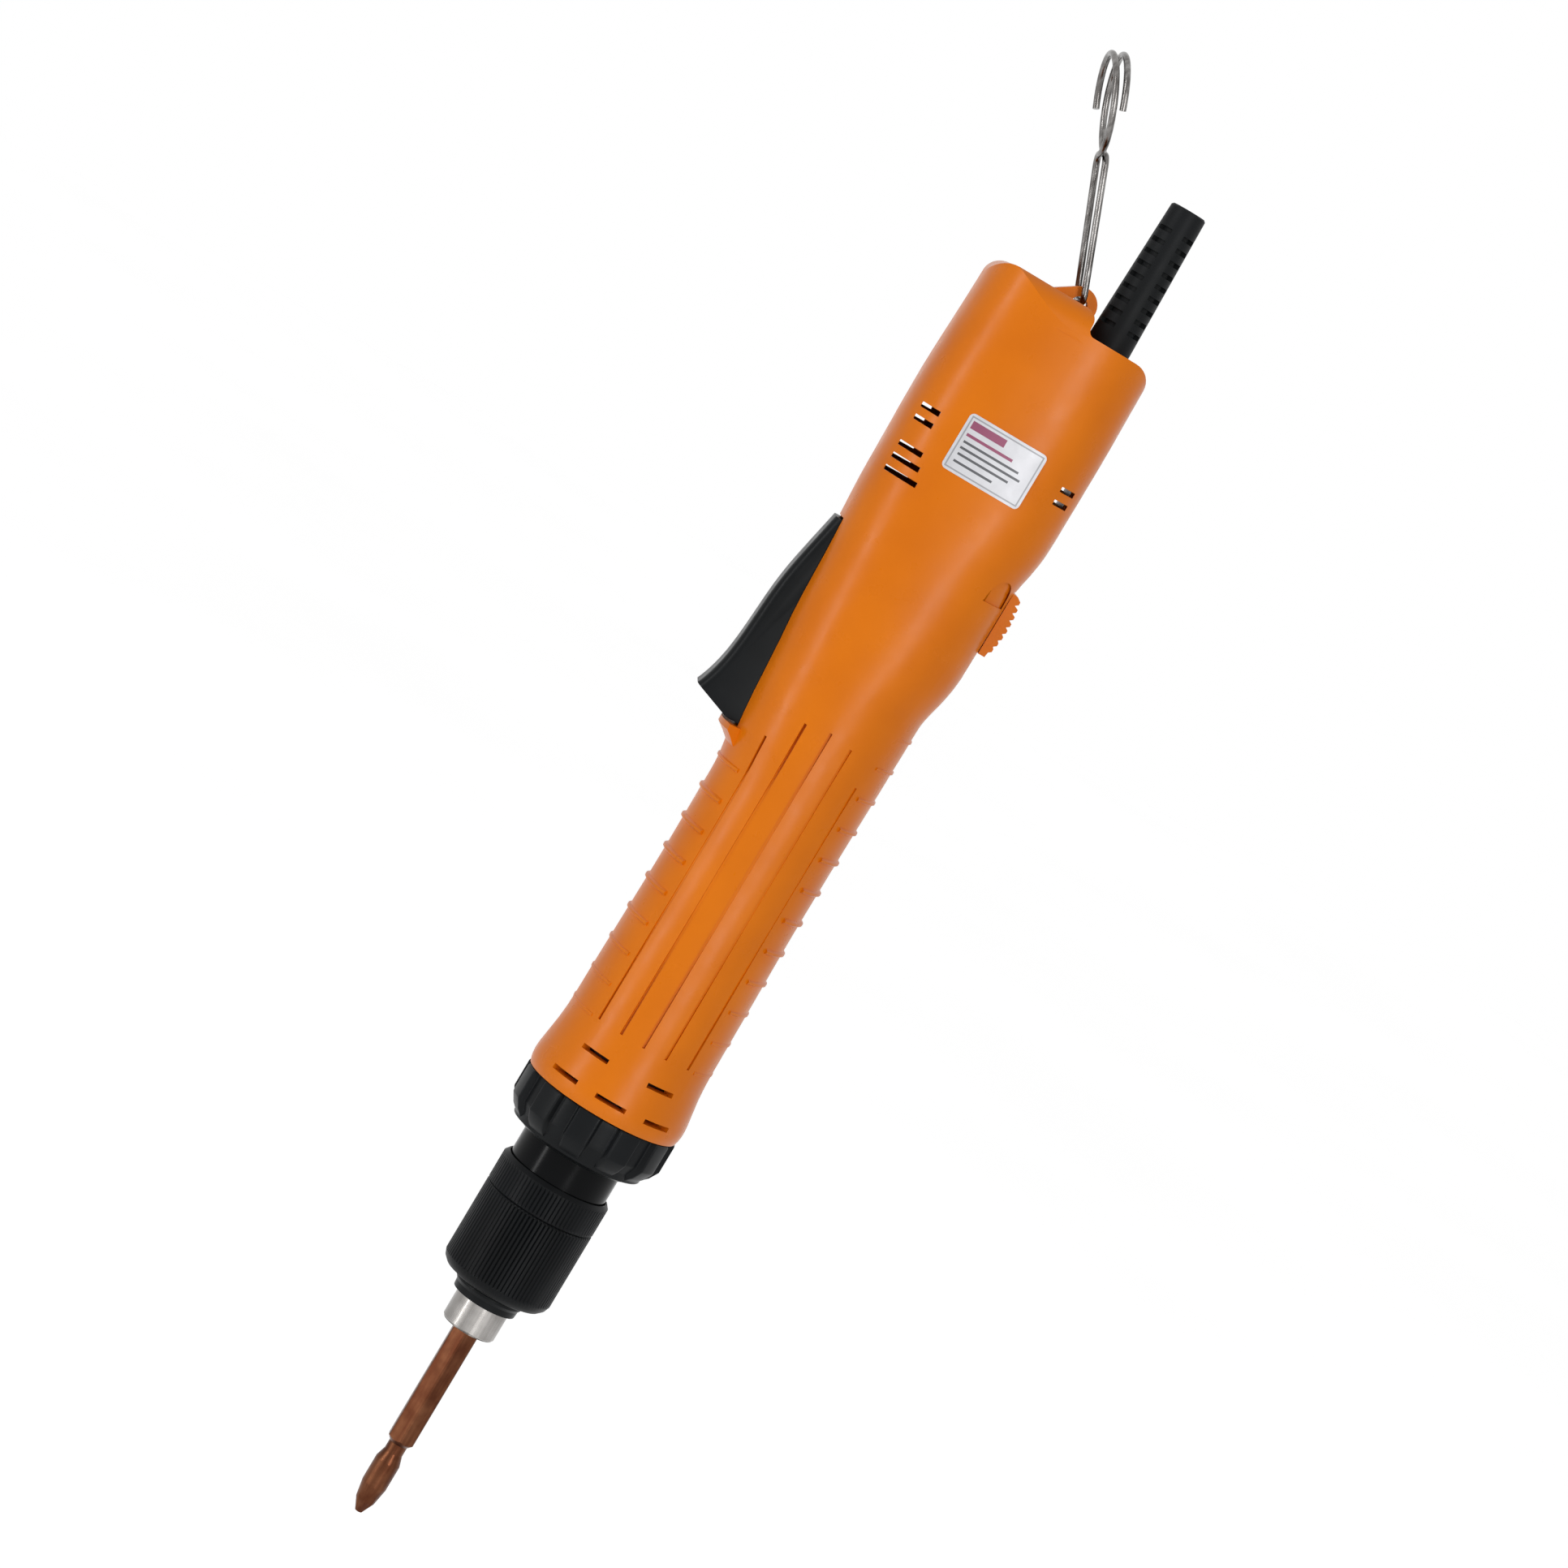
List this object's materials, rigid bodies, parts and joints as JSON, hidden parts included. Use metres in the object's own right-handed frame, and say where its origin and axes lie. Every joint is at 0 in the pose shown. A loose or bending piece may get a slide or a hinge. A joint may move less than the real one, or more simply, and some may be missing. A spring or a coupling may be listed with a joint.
{
  "type": "electric torque screwdriver",
  "caption": "Lever-start electric torque screwdriver with adjustable clutch collar, bit sleeve, cord boot and suspension hook, hung upright by its wire ring.",
  "frame": {"origin": "on the drive axis, at the front face of the steel bit sleeve", "axes": "+Z along the drive axis to the tail, -Y the label side, -X the start lever side, +X the direction knob side"},
  "size_m": [0.0555, 0.0402, 0.3848],
  "materials": {
    "orange_abs": "moulded, satin",
    "black_nylon": "moulded, satin",
    "black_collar": "knurled, satin",
    "black_gloss": "polished",
    "black_rubber": "moulded, matt",
    "turned_steel": "turned",
    "spring_steel": "bright drawn wire",
    "bronzed_steel": "bronze coated",
    "gear_steel": "machined",
    "sinter_bronze": "sintered",
    "laminated_iron": "laminated",
    "copper_wire": "enamelled",
    "magnet_ferrite": "ground",
    "circuit_board": "glass laminate",
    "component_plastic": "moulded"
  },
  "bodies": {
    "casing": {"front_housing_half": "orange_abs", "back_housing_half": "orange_abs", "housing_screws": "turned_steel", "strain_relief_boot": "black_rubber", "coupling_nut": "black_nylon", "clutch_housing": "black_gloss", "nose_cap": "black_nylon", "gear_case": "gear_steel", "ring_gear": "gear_steel", "front_bush": "sinter_bronze", "rear_bush": "sinter_bronze", "clutch_balls": "gear_steel", "clutch_plate": "gear_steel", "clutch_spring": "spring_steel", "motor_can": "turned_steel", "motor_end_bell": "turned_steel", "front_motor_bearing": "turned_steel", "rear_motor_bearing": "turned_steel", "stator_core": "laminated_iron", "stator_windings": "copper_wire", "controller_board": "circuit_board", "board_parts": "component_plastic", "start_switch": "component_plastic", "direction_switch": "component_plastic", "lever_pin": "turned_steel", "lever_spring": "spring_steel"},
    "lever": {"start_lever": "black_nylon"},
    "knob": {"direction_knob": "orange_abs"},
    "spring_seat": {"push_pins": "gear_steel", "thrust_washer": "gear_steel"},
    "collar": {"torque_collar": "black_collar", "lock_ring": "black_collar"},
    "hook": {"suspension_hook": "spring_steel"},
    "spindle_group": {"spindle": "gear_steel", "lock_balls": "gear_steel", "retaining_ring": "spring_steel", "sleeve_spring": "spring_steel", "screwdriver_bit": "bronzed_steel", "output_carrier": "gear_steel"},
    "sleeve": {"bit_sleeve": "turned_steel"},
    "input_stage": {"input_carrier": "gear_steel"},
    "rotor": {"rotor_magnet": "magnet_ferrite", "motor_shaft": "gear_steel"},
    "output_planet_body_1": {"output_planet_1": "gear_steel"},
    "output_planet_body_2": {"output_planet_2": "gear_steel"},
    "output_planet_body_3": {"output_planet_3": "gear_steel"},
    "input_planet_body_1": {"input_planet_1": "gear_steel"},
    "input_planet_body_2": {"input_planet_2": "gear_steel"},
    "input_planet_body_3": {"input_planet_3": "gear_steel"}
  },
  "joints": [
    {"name": "spindle_spin", "type": "hinge", "parent": "casing", "child": "spindle_group", "pos_m": [0, 0, 0], "axis": [0, 0, 1], "continuous": true},
    {"name": "sleeve_slide", "type": "slide", "parent": "spindle_group", "child": "sleeve", "axis": [0, 0, -1], "range_m": [0, 0.002], "stiffness_N_per_m": 800, "springref_m": -0.001, "deforming": ["sleeve_spring"]},
    {"name": "collar_travel", "type": "slide", "parent": "casing", "child": "spring_seat", "axis": [0, 0, 1], "range_m": [-0.001, 0.0055], "deforming": ["clutch_spring"]},
    {"name": "torque_setting", "type": "hinge", "parent": "spring_seat", "child": "collar", "pos_m": [0, 0, 0.02], "axis": [0, 0, 1], "range_deg": [-361, 1982]},
    {"name": "start_lever_press", "type": "hinge", "parent": "casing", "child": "lever", "pos_m": [-0.0186, 0, 0.2056], "axis": [0, -1, 0], "range_deg": [0, 5.5], "stiffness_Nm_per_rad": 1.2, "springref_deg": -2.86, "deforming": ["lever_spring"]},
    {"name": "direction_slide", "type": "slide", "parent": "casing", "child": "knob", "axis": [0, 0, 1], "range_m": [-0.005, 0]},
    {"name": "hook_swing", "type": "hinge", "parent": "casing", "child": "hook", "pos_m": [-0.0003, 0, 0.2796], "axis": [0, 1, 0], "range_deg": [-50, 27]},
    {"name": "input_carrier_spin", "type": "hinge", "parent": "casing", "child": "input_stage", "pos_m": [0, 0, 0.07], "axis": [0, 0, 1], "continuous": true},
    {"name": "rotor_spin", "type": "hinge", "parent": "casing", "child": "rotor", "pos_m": [0, 0, 0.1], "axis": [0, 0, 1], "continuous": true},
    {"name": "output_planet_spin_1", "type": "hinge", "parent": "spindle_group", "child": "output_planet_body_1", "pos_m": [0.0081, 0, 0.065], "axis": [0, 0, 1], "continuous": true},
    {"name": "output_planet_spin_2", "type": "hinge", "parent": "spindle_group", "child": "output_planet_body_2", "pos_m": [-0.00405, 0.00702, 0.065], "axis": [0, 0, 1], "continuous": true},
    {"name": "output_planet_spin_3", "type": "hinge", "parent": "spindle_group", "child": "output_planet_body_3", "pos_m": [-0.00405, -0.00702, 0.065], "axis": [0, 0, 1], "continuous": true},
    {"name": "input_planet_spin_1", "type": "hinge", "parent": "input_stage", "child": "input_planet_body_1", "pos_m": [0.0081, 0, 0.074], "axis": [0, 0, 1], "continuous": true},
    {"name": "input_planet_spin_2", "type": "hinge", "parent": "input_stage", "child": "input_planet_body_2", "pos_m": [-0.00405, 0.00702, 0.074], "axis": [0, 0, 1], "continuous": true},
    {"name": "input_planet_spin_3", "type": "hinge", "parent": "input_stage", "child": "input_planet_body_3", "pos_m": [-0.00405, -0.00702, 0.074], "axis": [0, 0, 1], "continuous": true}
  ],
  "couplings": [
    {"joint": "input_carrier_spin", "follows": "spindle_spin", "ratio": 4.5},
    {"joint": "rotor_spin", "follows": "spindle_spin", "ratio": 20.25},
    {"joint": "torque_setting", "follows": "collar_travel", "rad_per_m": 6283.2},
    {"joint": "output_planet_spin_1", "follows": "spindle_spin", "ratio": -2.8},
    {"joint": "output_planet_spin_2", "follows": "spindle_spin", "ratio": -2.8},
    {"joint": "output_planet_spin_3", "follows": "spindle_spin", "ratio": -2.8},
    {"joint": "input_planet_spin_1", "follows": "spindle_spin", "ratio": -12.6},
    {"joint": "input_planet_spin_2", "follows": "spindle_spin", "ratio": -12.6},
    {"joint": "input_planet_spin_3", "follows": "spindle_spin", "ratio": -12.6}
  ]
}
